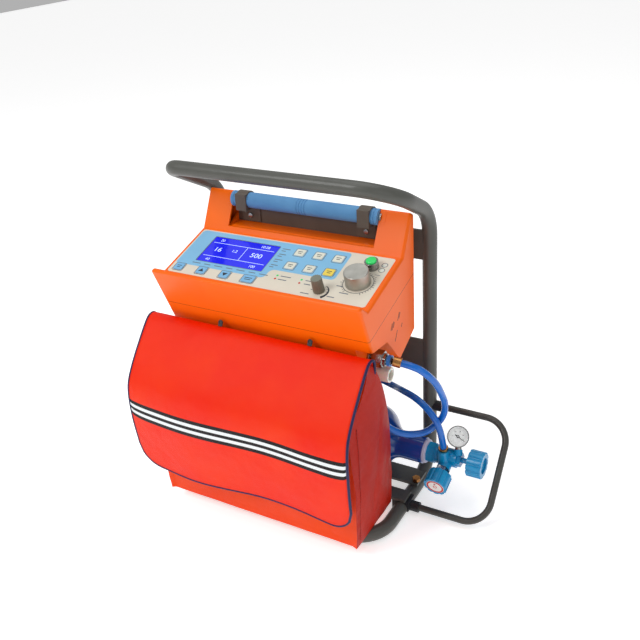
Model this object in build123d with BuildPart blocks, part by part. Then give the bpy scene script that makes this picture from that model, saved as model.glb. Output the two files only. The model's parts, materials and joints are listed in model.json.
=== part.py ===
"""Portable emergency ventilator: a sloping-panel control unit on a bent-tube frame, with an oxygen
cylinder and regulator behind an accessory bag. Millimetres, +Z up, +Y to the back.
The origin is on the floor under the middle of the whole object."""

import math
import os

from build123d import *

os.makedirs("parts", exist_ok=True)

# ---------------------------------------------------------------- driving dimensions
MID_X = -60.75  # middle of the control unit and of the frame
CREASE_Y = 55.75  # crease line where the sloping panel meets the two ears
CREASE_Z = 395.5  # its height over the floor
HALF_W = 165.0  # half width of the control unit
WALL = 3.0  # moulded casing wall
TILT = 15.6  # panel slope, degrees
EAR_X = 120.0  # inner faces of the ears
RECESS_Z = 6.5  # floor of the handle recess

TUBE_R = 10.5  # frame tube
TUBE_BORE = 8.5
UPRIGHT_X = 175.0
UPRIGHT_Y = 68.0
TOP_BAR = (-52.0, 109.0)
BASE_Z = TUBE_R - CREASE_Z
FRONT_BAR_Y = -130.0
SPLICE_Z = -300.0  # where the upper hoop is welded onto the base hoop

ROD_R = 5.0  # guard bail rod
BAIL_X = 302.0
BAIL_HIGH = (68.0, -268.0)
BAIL_LOW = (-33.0, -385.0)

CYL = (14.0, -315.0)  # cylinder axis in the side view
CYL_R = 54.0
CYL_END = -162.0
NECK_R = 20.0

GRIP = (26.5, 43.0)  # handle axis in the side view
GRIP_R = 11.5
CORE_R = 6.0
CASE_BACK = 38.0
UNIT_BOLTS = [(-125.0, -4.0), (125.0, -4.0)]  # bolts that hold the unit on the upper cross bar
BOLT_R = 3.0

HOSE_R = 5.0
PLATE_T = 2.5  # panel plate
KEY_GAP = 0.25
KEY_RISE = 1.2
FIT = 0.05  # clearance of fitted pieces that do not move
TURN_FIT = 0.08  # radial clearance of turning shafts


# ---------------------------------------------------------------- reference planes
def at(x, y, z):
    """A point given from the unit's middle and the crease line."""
    return Vector(MID_X + x, CREASE_Y + y, CREASE_Z + z)


def side(x=0.0):
    """Plane facing +X; its sketch axes run back and up."""
    return Plane(origin=at(x, 0, 0), x_dir=(0, 1, 0), z_dir=(1, 0, 0))


def front(y=0.0):
    """Plane facing -Y; its sketch axes run right and up."""
    return Plane(origin=at(0, y, 0), x_dir=(1, 0, 0), z_dir=(0, -1, 0))


def level(z=0.0):
    """Plane facing +Z; its sketch axes run right and back."""
    return Plane(origin=at(0, 0, z), x_dir=(1, 0, 0), z_dir=(0, 0, 1))


def panel(height=0.0):
    """Plane on the sloping panel; its sketch axes run right and up the slope."""
    slope = math.radians(TILT)
    normal = Vector(0, -math.sin(slope), math.cos(slope))
    return Plane(origin=at(0, 0, 0) + normal * height, x_dir=(1, 0, 0), z_dir=normal)


PANEL_AXIS = Axis(at(0, 0, 0), panel().z_dir)


def facing(point, direction, x_dir=(1, 0, 0)):
    """Plane at a point whose normal is the given direction."""
    return Plane(origin=at(*point), x_dir=x_dir, z_dir=direction)


def save(piece, name):
    """Label a finished piece and write its STEP file."""
    piece.part.label = name
    export_step(piece.part, f"parts/{name}.step")


# ---------------------------------------------------------------- casing
CASE_PROFILE = [
    (-129, -18),
    (-122.5, -16.2),
    (-107, -29.9),
    (0, 0),
    (29.3, 54),
    (CASE_BACK, 49.5),
    (CASE_BACK, -123.7),
    (-67.8, -175),
]
SEAM_FRONT = (-109.0, -75.5)  # joint line between the two casing halves, parallel to the panel
NOTCH_X = 140.0  # inner wall of the port notch
NOTCH = [(-140, -90), (-54.6, -99.2), (-16, -146), (-60, -220), (-140, -220)]
PLATE_U = (-159.0, 157.0)
PLATE_V = (-105.0, -4.0)
PLATE_MID = ((PLATE_U[0] + PLATE_U[1]) / 2, (PLATE_V[0] + PLATE_V[1]) / 2)
PLATE_SIZE = (PLATE_U[1] - PLATE_U[0], PLATE_V[1] - PLATE_V[0])
SEAM_SLOPE = math.tan(math.radians(TILT))


def seam_height(y):
    """Height of the casing joint at a distance y behind the crease."""
    return SEAM_FRONT[1] + (y - SEAM_FRONT[0]) * SEAM_SLOPE


def casing_body():
    """The whole moulded casing before it is parted at the seam."""
    with BuildPart() as case:
        with BuildSketch(side()) as outer:
            with BuildLine():
                Polyline(*CASE_PROFILE, close=True)
            make_face()
            fillet(outer.vertices(), 2.5)
        extrude(amount=HALF_W, both=True)
        fillet(case.faces().sort_by(Axis.X)[-1].edges(), 4)
        fillet(case.faces().sort_by(Axis.X)[0].edges(), 4)
        with BuildSketch(side()):
            with BuildLine():
                Polyline(*CASE_PROFILE, close=True)
            make_face()
            offset(amount=-WALL, mode=Mode.REPLACE)
        extrude(amount=HALF_W - WALL, both=True, mode=Mode.SUBTRACT)
    return case


with BuildPart() as port_walls:
    with BuildSketch(side(NOTCH_X - WALL)):
        with BuildLine():
            Polyline(*[(y - 6, z + 6) for y, z in NOTCH[:2]], (NOTCH[2][0] + 6, NOTCH[2][1] + 4),
                     (-60, -220), (-146, -220), close=True)
        make_face()
    extrude(amount=HALF_W - NOTCH_X + WALL - 0.5)
    with BuildSketch(side()):
        with BuildLine():
            Polyline(*CASE_PROFILE, close=True)
        make_face()
        offset(amount=-0.5, mode=Mode.REPLACE)
    extrude(amount=HALF_W, mode=Mode.INTERSECT)

with BuildPart() as recess_walls:
    with BuildSketch(side()):
        Polygon((0.2, 0.3), (34, 18), (37.8, 50), (37.8, -WALL), (-1.5, -WALL), align=None)
    extrude(amount=EAR_X + WALL, both=True)

with BuildPart() as recess_space:
    with BuildSketch(side()):
        with Locations((10, RECESS_Z + 40)):
            Rectangle(80, 80)
    extrude(amount=EAR_X, both=True)

with BuildPart() as notch_space:
    with BuildSketch(side(NOTCH_X)):
        with BuildLine():
            Polyline(*NOTCH, close=True)
        make_face()
    extrude(amount=HALF_W)

with BuildPart() as upper_half:
    with BuildSketch(side()):
        with BuildLine():
            Polyline((-200, seam_height(-200)), (100, seam_height(100)), (100, 100), (-200, 100), close=True)
        make_face()
    extrude(amount=HALF_W + 10, both=True)

casing = casing_body()
with BuildPart() as whole_case:
    add(casing.part)
    add(port_walls.part)
    add(recess_walls.part)
    add(recess_space.part, mode=Mode.SUBTRACT)
    add(notch_space.part, mode=Mode.SUBTRACT)
    with BuildSketch(panel(-PLATE_T)):
        with Locations(PLATE_MID):
            RectangleRounded(PLATE_SIZE[0] + 2 * FIT, PLATE_SIZE[1] + 2 * FIT, 4)
    extrude(amount=30, mode=Mode.SUBTRACT)
    with BuildSketch(panel(-20)):
        with Locations(PLATE_MID):
            RectangleRounded(PLATE_SIZE[0] - 8, PLATE_SIZE[1] - 8, 3)
    extrude(amount=30, mode=Mode.SUBTRACT)
    with BuildSketch(side(-EAR_X - 2 * WALL)):
        with Locations(GRIP):
            Circle(CORE_R + FIT)
    extrude(amount=2 * (EAR_X + 2 * WALL), mode=Mode.SUBTRACT)
    with BuildSketch(front(15)):
        with Locations(*UNIT_BOLTS):
            Circle(BOLT_R + FIT)
    extrude(amount=-35, mode=Mode.SUBTRACT)

with BuildPart() as top_case:
    add(whole_case.part)
    add(upper_half.part, mode=Mode.INTERSECT)
save(top_case, "top_case")

VENT_COUNT = 9
INLET = (-57.0, -126.0)
OUTLET = (-50.0, -153.0)
with BuildPart() as bottom_case:
    add(whole_case.part)
    add(upper_half.part, mode=Mode.SUBTRACT)
    with BuildSketch(side(NOTCH_X - 2 * WALL)):
        with Locations(INLET):
            Circle(8 + FIT)
        with Locations(OUTLET):
            Circle(9 + FIT)
    extrude(amount=3 * WALL, mode=Mode.SUBTRACT)
    with BuildSketch(front(50)):
        with GridLocations(9, 0, VENT_COUNT, 1):
            SlotOverall(44, 3, rotation=90)
    extrude(amount=20, mode=Mode.SUBTRACT)
save(bottom_case, "bottom_case")


# ---------------------------------------------------------------- panel and its display
LCD_AT = (-73.0, -44.5)
LCD_SIZE = (112.0, 57.0)
KEY_SIZE = (14.6, 13.8)
KEY_TRAVEL = 0.8
RATE_KNOB_AT = (127.7, -61.8)
MODE_KNOB_AT = (83.4, -89.6)
LAMP_AT = (132.4, -27.5)
BARREL_R = 8.0
KNOB_STEM_R = 3.0
INDICATORS = [(147.0, -19.5), (147.4, -30.5)]
LEDS = [(10.8, -75.0), (10.8, -82.0), (49.0, -75.0), (49.0, -82.0)]
BOARD_TOP = -12.5
KEYS = {
    "menu_key": (-145.0, -92.5, 14.6),
    "up_key": (-105.6, -92.5, 14.6),
    "down_key": (-66.2, -92.5, 14.6),
    "confirm_key": (-26.8, -92.5, 19.0),
    "mode_key_1": (18.5, -22.5, 14.6),
    "mode_key_2": (48.9, -22.5, 14.6),
    "mode_key_3": (79.3, -22.5, 14.6),
    "mode_key_4": (18.5, -52.0, 14.6),
    "mode_key_5": (48.9, -52.0, 14.6),
    "mute_key": (79.3, -52.0, 14.6),
}

with BuildPart() as panel_plate:
    with BuildSketch(panel(-PLATE_T)):
        with Locations(PLATE_MID):
            RectangleRounded(*PLATE_SIZE, 4)
        with Locations(LCD_AT):
            RectangleRounded(LCD_SIZE[0], LCD_SIZE[1], 1.5, mode=Mode.SUBTRACT)
        for u, v, wide in KEYS.values():
            with Locations((u, v)):
                RectangleRounded(wide + 2 * KEY_GAP, KEY_SIZE[1] + 2 * KEY_GAP, 2.2, mode=Mode.SUBTRACT)
        with Locations(RATE_KNOB_AT, MODE_KNOB_AT):
            Circle(KNOB_STEM_R + 0.3, mode=Mode.SUBTRACT)
        with Locations(LAMP_AT):
            Circle(BARREL_R + FIT, mode=Mode.SUBTRACT)
        with Locations(*INDICATORS):
            Circle(3.2 + FIT, mode=Mode.SUBTRACT)
        with Locations(*LEDS):
            Circle(1.1 + FIT, mode=Mode.SUBTRACT)
    extrude(amount=PLATE_T)
save(panel_plate, "panel_plate")

with BuildPart() as lcd_window:
    with BuildSketch(panel(-1.8)):
        with Locations(LCD_AT):
            RectangleRounded(LCD_SIZE[0] - 2 * FIT, LCD_SIZE[1] - 2 * FIT, 1.5)
    extrude(amount=1.5)
save(lcd_window, "lcd_window")

with BuildPart() as lcd_module:
    with BuildSketch(panel(-PLATE_T - 7)):
        with Locations(LCD_AT):
            Rectangle(LCD_SIZE[0] + 10, LCD_SIZE[1] + 8)
    extrude(amount=7)
save(lcd_module, "lcd_module")

for key_name, (u, v, wide) in KEYS.items():
    with BuildPart() as key:
        with BuildSketch(panel(-PLATE_T - 1.3)):
            with Locations((u, v)):
                RectangleRounded(wide + 2.4, KEY_SIZE[1] + 2.4, 2.5)
        extrude(amount=1.2)
        with BuildSketch(panel(-PLATE_T - 0.6)):
            with Locations((u, v)):
                RectangleRounded(wide, KEY_SIZE[1], 2)
        extrude(amount=PLATE_T + 0.6 + KEY_RISE)
        top_face = key.faces().sort_by(PANEL_AXIS)[-1]
        fillet(top_face.edges(), 0.5)
    save(key, key_name)

with BuildPart() as indicator_lamps:
    with BuildSketch(panel(-PLATE_T)):
        with Locations(*INDICATORS):
            Circle(3.2)
        with Locations(*LEDS):
            Circle(1.1)
    extrude(amount=PLATE_T + 0.3)
save(indicator_lamps, "indicator_lamps")

# ---------------------------------------------------------------- knobs and the lamp button
with BuildPart() as rate_knob:
    with BuildSketch(panel(0.5)):
        with Locations(RATE_KNOB_AT):
            Circle(17.5)
    extrude(amount=19.5, taper=2)
    knob_top = rate_knob.faces().sort_by(PANEL_AXIS)[-1]
    fillet(knob_top.edges(), 1.2)
    with BuildSketch(panel(-11.5)):
        with Locations(RATE_KNOB_AT):
            Circle(KNOB_STEM_R)
    extrude(amount=14)
save(rate_knob, "rate_knob")

RIB_COUNT = 16
with BuildPart() as mode_knob:
    with BuildSketch(panel(0.5)):
        with Locations(MODE_KNOB_AT):
            Circle(8)
            with PolarLocations(8, RIB_COUNT):
                Circle(0.55, mode=Mode.SUBTRACT)
    extrude(amount=21, taper=1.5)
    with BuildSketch(panel(-11.5)):
        with Locations(MODE_KNOB_AT):
            Circle(KNOB_STEM_R)
    extrude(amount=14)
save(mode_knob, "mode_knob")

with BuildPart() as lamp_bezel:
    with BuildSketch(panel(0)):
        with Locations(LAMP_AT):
            Circle(9.5)
            Circle(7.2, mode=Mode.SUBTRACT)
    extrude(amount=11)
    with BuildSketch(panel(BOARD_TOP + 0.5)):
        with Locations(LAMP_AT):
            Circle(BARREL_R)
            Circle(7.2, mode=Mode.SUBTRACT)
    extrude(amount=-BOARD_TOP - 0.5)
    with BuildSketch(panel(BOARD_TOP + 0.5)):
        with Locations(LAMP_AT):
            Circle(BARREL_R)
    extrude(amount=2)
save(lamp_bezel, "lamp_bezel")

with BuildPart() as lamp_button:
    with BuildSketch(panel(0)):
        with Locations(LAMP_AT):
            Circle(7.2 - TURN_FIT)
    extrude(amount=13.5)
    button_top = lamp_button.faces().sort_by(PANEL_AXIS)[-1]
    fillet(button_top.edges(), 1.5)
save(lamp_button, "lamp_button")

# ---------------------------------------------------------------- inside the control unit
with BuildPart() as control_board:
    with BuildSketch(panel(BOARD_TOP - 1.6)):
        with Locations(PLATE_MID):
            Rectangle(PLATE_SIZE[0] - 16, PLATE_SIZE[1] - 16)
    extrude(amount=1.6)
    with BuildSketch(panel(BOARD_TOP - 6)):
        with Locations((-60, -55), (20, -60), (60, -40), (100, -70)):
            Rectangle(22, 22)
    extrude(amount=4.4)
save(control_board, "control_board")

with BuildPart() as knob_encoders:
    with BuildSketch(panel(BOARD_TOP)):
        with Locations(RATE_KNOB_AT, MODE_KNOB_AT):
            RectangleRounded(13, 13, 1)
            Circle(KNOB_STEM_R + TURN_FIT, mode=Mode.SUBTRACT)
    extrude(amount=9.4)
save(knob_encoders, "knob_encoders")

with BuildPart() as battery_pack:
    with BuildSketch(level(-128)):
        with Locations((-80, -6)):
            RectangleRounded(130, 50, 5)
    extrude(amount=46)
save(battery_pack, "battery_pack")

with BuildPart() as valve_block:
    with BuildSketch(level(-128)):
        with Locations((84, -34)):
            RectangleRounded(56, 62, 3)
    extrude(amount=40)
    with BuildSketch(level(-88)):
        with Locations((70, -50), (98, -50), (84, -18)):
            Circle(9)
    extrude(amount=14)
save(valve_block, "valve_block")

with BuildPart() as alarm_speaker:
    with BuildSketch(level(-140)):
        with Locations((-95, -40)):
            Circle(18)
    extrude(amount=9)
save(alarm_speaker, "alarm_speaker")

# ---------------------------------------------------------------- gas ports in the notch
INLET_TAIL = 5.5
with BuildPart() as oxygen_inlet:
    with BuildSketch(side(128)):
        with Locations(INLET):
            Circle(8)
    extrude(amount=20)
    with BuildSketch(side(NOTCH_X)):
        with Locations(INLET):
            Circle(12.5)
    extrude(amount=3)
    with BuildSketch(side(148)):
        with Locations(INLET):
            RegularPolygon(12.5, 6)
    extrude(amount=13)
    with BuildSketch(side(161)):
        with Locations(INLET):
            Circle(9)
    extrude(amount=4)
    with BuildSketch(side(165)):
        with Locations(INLET):
            Circle(INLET_TAIL)
    extrude(amount=8)
save(oxygen_inlet, "oxygen_inlet")

with BuildPart() as release_ring:
    with BuildSketch(side(166.8)):
        with Locations(INLET):
            Circle(8)
            Circle(INLET_TAIL + 0.3, mode=Mode.SUBTRACT)
    extrude(amount=5)
save(release_ring, "release_ring")

with BuildPart() as gas_outlet:
    with BuildSketch(side(130)):
        with Locations(OUTLET):
            Circle(9)
            Circle(7.5, mode=Mode.SUBTRACT)
    extrude(amount=NOTCH_X - 130)
    with BuildSketch(side(NOTCH_X)):
        with Locations(OUTLET):
            Circle(11)
            Circle(7.5, mode=Mode.SUBTRACT)
    extrude(amount=27)
save(gas_outlet, "gas_outlet")

with BuildPart() as inner_hoses:
    with BuildSketch(side(112)):
        with Locations((INLET[0], INLET[1])):
            Circle(3.5)
    extrude(amount=16)
    with BuildSketch(side(112)):
        with Locations((INLET[0] + 20, INLET[1] + 8)):
            Circle(3)
    extrude(amount=22)
save(inner_hoses, "inner_hoses")


# ---------------------------------------------------------------- carrying handle in the recess
RECESS_PLATE_Y = 33.0
CLIP_X = 100.0
CLIP_SCREWS = [(-CLIP_X + 4, 17.5), (CLIP_X - 4, 17.5)]
SCREW_R = 2.0
GROOVE_GROUPS = (-108.0, 0.0, 108.0)
GROOVE_PITCH = 4.2

with BuildPart() as recess_plate:
    with BuildSketch(front(RECESS_PLATE_Y)):
        with Locations((0, RECESS_Z + 12.3)):
            Rectangle(2 * EAR_X - 2 * FIT, 24.6 - 2 * FIT)
        with Locations(*CLIP_SCREWS):
            Circle(SCREW_R + FIT, mode=Mode.SUBTRACT)
    extrude(amount=-3)
save(recess_plate, "recess_plate")

with BuildPart() as handle_core:
    with BuildSketch(side(-EAR_X - WALL)):
        with Locations(GRIP):
            Circle(CORE_R)
            Circle(CORE_R - 1.5, mode=Mode.SUBTRACT)
    extrude(amount=2 * (EAR_X + WALL))
save(handle_core, "handle_core")

with BuildPart() as handle_grip:
    with BuildSketch(side(-EAR_X + 0.5)):
        with Locations(GRIP):
            Circle(GRIP_R)
            Circle(CORE_R + FIT, mode=Mode.SUBTRACT)
    extrude(amount=2 * (EAR_X - 0.5))
    for middle in GROOVE_GROUPS:
        for step in (-1.5, -0.5, 0.5, 1.5):
            with BuildSketch(side(middle + step * GROOVE_PITCH - 0.6)):
                with Locations(GRIP):
                    Circle(GRIP_R + 1)
                    Circle(GRIP_R - 0.7, mode=Mode.SUBTRACT)
            extrude(amount=1.2, mode=Mode.SUBTRACT)
save(handle_grip, "handle_grip")

CLIP_BORE = GRIP_R + FIT
with BuildPart() as handle_clips:
    for middle, lean in ((-CLIP_X, 1), (CLIP_X, -1)):
        with BuildSketch(side(middle - 9)):
            with Locations(GRIP):
                Circle(CLIP_BORE + 2)
            with Locations((GRIP[0] - 7, GRIP[1] - 1)):
                Rectangle(13.1, 25)
            with Locations((RECESS_PLATE_Y - 1, 21)):
                Rectangle(2, 26)
            with Locations(GRIP):
                Circle(CLIP_BORE, mode=Mode.SUBTRACT)
            with Locations((RECESS_PLATE_Y + 10, 21.3)):
                Rectangle(20, 20, mode=Mode.SUBTRACT)
        extrude(amount=18)
        with BuildSketch(front(RECESS_PLATE_Y - 2)):
            with Locations((middle + lean * 5, 19)):
                RectangleRounded(31, 22, 3)
            with Locations((middle + lean * 4, 17.5)):
                Circle(SCREW_R + FIT, mode=Mode.SUBTRACT)
        extrude(amount=-2)
        with BuildSketch(front(0)):
            with Locations((middle + lean * 4, 17.5)):
                Circle(SCREW_R + FIT)
        extrude(amount=-RECESS_PLATE_Y, mode=Mode.SUBTRACT)
save(handle_clips, "handle_clips")

with BuildPart() as clip_screws:
    with BuildSketch(front(RECESS_PLATE_Y - 4)):
        with Locations(*CLIP_SCREWS):
            Circle(3.6)
    extrude(amount=-2)
    with BuildSketch(front(RECESS_PLATE_Y - 3)):
        with Locations(*CLIP_SCREWS):
            Circle(SCREW_R)
    extrude(amount=-6)
save(clip_screws, "clip_screws")

# ---------------------------------------------------------------- tube frame
KNEE_Z = 43.0  # where the uprights would turn towards the top bar
UPPER_ROUTE = [
    (UPRIGHT_X, UPRIGHT_Y, SPLICE_Z),
    (UPRIGHT_X, UPRIGHT_Y, KNEE_Z),
    (UPRIGHT_X, *TOP_BAR),
    (-UPRIGHT_X, *TOP_BAR),
    (-UPRIGHT_X, UPRIGHT_Y, KNEE_Z),
    (-UPRIGHT_X, UPRIGHT_Y, SPLICE_Z),
]
UPPER_BENDS = [60, 55, 26, 60]
BASE_ROUTE = [
    (UPRIGHT_X, UPRIGHT_Y, SPLICE_Z),
    (UPRIGHT_X, UPRIGHT_Y, BASE_Z),
    (UPRIGHT_X, FRONT_BAR_Y, BASE_Z),
    (-UPRIGHT_X, FRONT_BAR_Y, BASE_Z),
    (-UPRIGHT_X, UPRIGHT_Y, BASE_Z),
    (-UPRIGHT_X, UPRIGHT_Y, SPLICE_Z),
]
BASE_BENDS = [55, 50, 50, 55]


def bent_tube(route, bends, outer, bore=0.0):
    """Round tube or rod along straight runs joined by arcs."""
    with BuildPart() as tube:
        with BuildLine() as path:
            FilletPolyline(*[at(*point) for point in route], radius=bends)
        with BuildSketch(Plane(origin=path.line @ 0, z_dir=path.line % 0)):
            Circle(outer)
            if bore:
                Circle(bore, mode=Mode.SUBTRACT)
        sweep()
    return tube


upper_hoop = bent_tube(UPPER_ROUTE, UPPER_BENDS, TUBE_R, TUBE_BORE)
save(upper_hoop, "upper_hoop")
base_hoop = bent_tube(BASE_ROUTE, BASE_BENDS, TUBE_R, TUBE_BORE)
save(base_hoop, "base_hoop")
upper_envelope = bent_tube(UPPER_ROUTE, UPPER_BENDS, TUBE_R + 0.02)
base_envelope = bent_tube(BASE_ROUTE, BASE_BENDS, TUBE_R + 0.02)

BAR_Y = 60.0
BAR_T = 4.0
with BuildPart() as upper_cross_bar:
    with BuildSketch(front(BAR_Y)):
        with Locations((0, -4)):
            Rectangle(2 * UPRIGHT_X - 2, 44)
        with Locations(*UNIT_BOLTS):
            Circle(BOLT_R + FIT, mode=Mode.SUBTRACT)
    extrude(amount=-BAR_T)
    add(upper_envelope.part, mode=Mode.SUBTRACT)
    with BuildSketch(front(CASE_BACK)):
        with Locations(*UNIT_BOLTS):
            Circle(9)
            Circle(BOLT_R + FIT, mode=Mode.SUBTRACT)
    extrude(amount=CASE_BACK - BAR_Y)
save(upper_cross_bar, "upper_cross_bar")

with BuildPart() as lower_cross_bar:
    with BuildSketch(front(BAR_Y)):
        with Locations((0, -180.5)):
            Rectangle(2 * UPRIGHT_X - 2, 53)
    extrude(amount=-BAR_T)
    add(upper_envelope.part, mode=Mode.SUBTRACT)
save(lower_cross_bar, "lower_cross_bar")

with BuildPart() as unit_bolts:
    with BuildSketch(front(BAR_Y + BAR_T)):
        with Locations(*UNIT_BOLTS):
            RegularPolygon(5.6, 6)
    extrude(amount=-4)
    with BuildSketch(front(CASE_BACK - WALL - 6)):
        with Locations(*UNIT_BOLTS):
            Circle(BOLT_R)
    extrude(amount=-(BAR_Y + BAR_T - CASE_BACK + WALL + 6))
save(unit_bolts, "unit_bolts")

CRADLE_Z = BASE_Z + TUBE_R  # top of the base tubes
with BuildPart() as cylinder_cradle:
    with BuildSketch(level(CRADLE_Z)):
        with Locations((0, 17)):
            Rectangle(366, 36)
        with Locations((-178, 7), (178, 7)):
            Circle(BOLT_R + FIT, mode=Mode.SUBTRACT)
    extrude(amount=BAR_T)
    add(base_envelope.part, mode=Mode.SUBTRACT)
save(cylinder_cradle, "cylinder_cradle")

with BuildPart() as bag_rail:
    with BuildSketch(level(CRADLE_Z)):
        with Locations((0, -33)):
            Rectangle(364, 24)
    extrude(amount=5)
save(bag_rail, "bag_rail")

with BuildPart() as cradle_bolts:
    with BuildSketch(level(CRADLE_Z + BAR_T)):
        with Locations((-178, 7), (178, 7)):
            RegularPolygon(6.5, 6)
    extrude(amount=6)
    with BuildSketch(level(CRADLE_Z + 0.05)):
        with Locations((-178, 7), (178, 7)):
            Circle(BOLT_R)
    extrude(amount=BAR_T)
save(cradle_bolts, "cradle_bolts")

# ---------------------------------------------------------------- guard bail and its sockets
SOCKET_R = 8.0
SOCKET_END = 200.0
ROD_START = 188.0
with BuildPart() as bail_sockets:
    with BuildSketch(side(UPRIGHT_X + 3)):
        with Locations(BAIL_HIGH, BAIL_LOW):
            Circle(SOCKET_R)
    extrude(amount=SOCKET_END - UPRIGHT_X - 3)
    with BuildSketch(side(UPRIGHT_X - 14)):
        with Locations((BAIL_LOW[0], BAIL_LOW[1] + 3)):
            Rectangle(24, 15)
    extrude(amount=26)
    with BuildSketch(side(ROD_START)):
        with Locations(BAIL_HIGH, BAIL_LOW):
            Circle(ROD_R + FIT)
    extrude(amount=20, mode=Mode.SUBTRACT)
    add(upper_envelope.part, mode=Mode.SUBTRACT)
    add(base_envelope.part, mode=Mode.SUBTRACT)
save(bail_sockets, "bail_sockets")

BAIL_ROUTE = [
    (ROD_START, *BAIL_HIGH),
    (BAIL_X, *BAIL_HIGH),
    (BAIL_X, *BAIL_LOW),
    (ROD_START, *BAIL_LOW),
]
guard_bail = bent_tube(BAIL_ROUTE, [36, 36], ROD_R)
save(guard_bail, "guard_bail")

# ---------------------------------------------------------------- oxygen cylinder
SHOULDER_X = 96.0
NECK_X = 152.0
NECK_END = 190.0
SHELL = 4.0


def cylinder_outline(shrink):
    """Half section of the cylinder, along its axis, drawn from the axis outwards."""
    with BuildLine() as outline:
        Polyline((NECK_END - shrink, 0), (CYL_END + shrink, 0), (CYL_END + shrink, CYL_R - 14))
        ThreePointArc((CYL_END + shrink, CYL_R - 14), (CYL_END + 5 + shrink * 0.8, CYL_R - 4 - shrink * 0.8),
                      (CYL_END + 16, CYL_R - shrink))
        Line((CYL_END + 16, CYL_R - shrink), (SHOULDER_X, CYL_R - shrink))
        Spline((SHOULDER_X, CYL_R - shrink), (SHOULDER_X + 36, CYL_R - 15 - shrink),
               (NECK_X + 6, NECK_R - shrink), tangents=((1, 0), (1, 0)))
        Polyline((NECK_X + 6, NECK_R - shrink), (NECK_END - shrink, NECK_R - shrink), (NECK_END - shrink, 0))
    return outline


CYL_PLANE = Plane(origin=at(0, *CYL), x_dir=(1, 0, 0), z_dir=(0, -1, 0))
CYL_AXIS = Axis(at(0, *CYL), (1, 0, 0))
with BuildPart() as gas_cylinder:
    with BuildSketch(CYL_PLANE):
        with BuildLine():
            add(cylinder_outline(0).line)
        make_face()
    revolve(axis=CYL_AXIS)
    with BuildSketch(CYL_PLANE):
        with BuildLine():
            add(cylinder_outline(SHELL).line)
        make_face()
    revolve(axis=CYL_AXIS, mode=Mode.SUBTRACT)
save(gas_cylinder, "gas_cylinder")

with BuildPart() as cylinder_straps:
    for middle in (-95, 40):
        with BuildSketch(side(middle - 12)):
            with Locations(CYL):
                Circle(CYL_R + 1.4)
                Circle(CYL_R + 0.05, mode=Mode.SUBTRACT)
        extrude(amount=24)
save(cylinder_straps, "cylinder_straps")

with BuildPart() as neck_ring:
    with BuildSketch(side(NECK_END)):
        with Locations(CYL):
            Circle(18)
    extrude(amount=6)
    chamfer(neck_ring.faces().sort_by(Axis.X)[-1].edges(), 1.5)
save(neck_ring, "neck_ring")

# ---------------------------------------------------------------- regulator
BODY_X = NECK_END + 6
BODY_END = 248.0
WHEEL_X = 260.0
WHEEL_R = 20.0
SPINDLE_R = 4.0
FLOW_DIR = Vector(0, -0.95, -0.31)
FLOW_AT = (226.0, 14.0, -319.0)
FLOW_KNOB_R = 17.5
GAUGE_DIR = Vector(0.35, -0.72, 0.6)
GAUGE_AT = (237.2, 24.5, -283.0)
GAUGE_STEM = Vector(0.262, -0.54, -0.80)
GAUGE_R = 16.0
HOSE_TOP = (223.0, 3.0, -292.0)


def along(point, direction, distance):
    """Plane facing along a direction, a distance from a point on it."""
    ahead = direction.normalized()
    across = ahead.cross(Vector(0, 0, 1)).normalized()
    return Plane(origin=at(*point) + ahead * distance, x_dir=across, z_dir=ahead)


with BuildPart() as valve_body:
    with BuildSketch(side(BODY_X)):
        with Locations(CYL):
            RegularPolygon(15.5, 8, rotation=22.5)
    extrude(amount=12)
    with BuildSketch(side(BODY_X + 12)):
        with Locations(CYL):
            Circle(13.5)
    extrude(amount=BODY_END - BODY_X - 18)
    with BuildSketch(side(BODY_END - 6)):
        with Locations(CYL):
            RegularPolygon(11, 6)
    extrude(amount=6)
    with BuildSketch(level(CYL[1])):
        with Locations(HOSE_TOP[:2]):
            Circle(8.5)
    extrude(amount=HOSE_TOP[2] - 5.5 - CYL[1])
    with BuildSketch(along(FLOW_AT, FLOW_DIR, 0)):
        Circle(10)
    extrude(amount=20)
    with BuildSketch(along(GAUGE_AT, GAUGE_STEM, GAUGE_R + 3)):
        Circle(6)
    extrude(amount=9)
    with BuildSketch(side(BODY_END)):
        with Locations(CYL):
            Circle(SPINDLE_R + TURN_FIT)
    extrude(amount=-14, mode=Mode.SUBTRACT)
    with BuildSketch(along(FLOW_AT, FLOW_DIR, 21)):
        Circle(SPINDLE_R + TURN_FIT)
    extrude(amount=-12, mode=Mode.SUBTRACT)
save(valve_body, "valve_body")

with BuildPart() as valve_wheel:
    with BuildSketch(side(WHEEL_X)):
        with Locations(CYL):
            Circle(WHEEL_R)
            with PolarLocations(WHEEL_R + 0.6, 12):
                Circle(2.2, mode=Mode.SUBTRACT)
    extrude(amount=22)
    chamfer(valve_wheel.faces().sort_by(Axis.X)[-1].edges(), 0.8)
    with BuildSketch(side(WHEEL_X + 22)):
        with Locations(CYL):
            Circle(12)
    extrude(amount=-3, mode=Mode.SUBTRACT)
    with BuildSketch(side(BODY_END - 12)):
        with Locations(CYL):
            Circle(SPINDLE_R)
    extrude(amount=WHEEL_X - BODY_END + 14)
save(valve_wheel, "valve_wheel")

with BuildPart() as flow_bonnet:
    with BuildSketch(along(FLOW_AT, FLOW_DIR, 20)):
        RegularPolygon(11, 6)
        Circle(SPINDLE_R + TURN_FIT, mode=Mode.SUBTRACT)
    extrude(amount=7)
save(flow_bonnet, "flow_bonnet")

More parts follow.
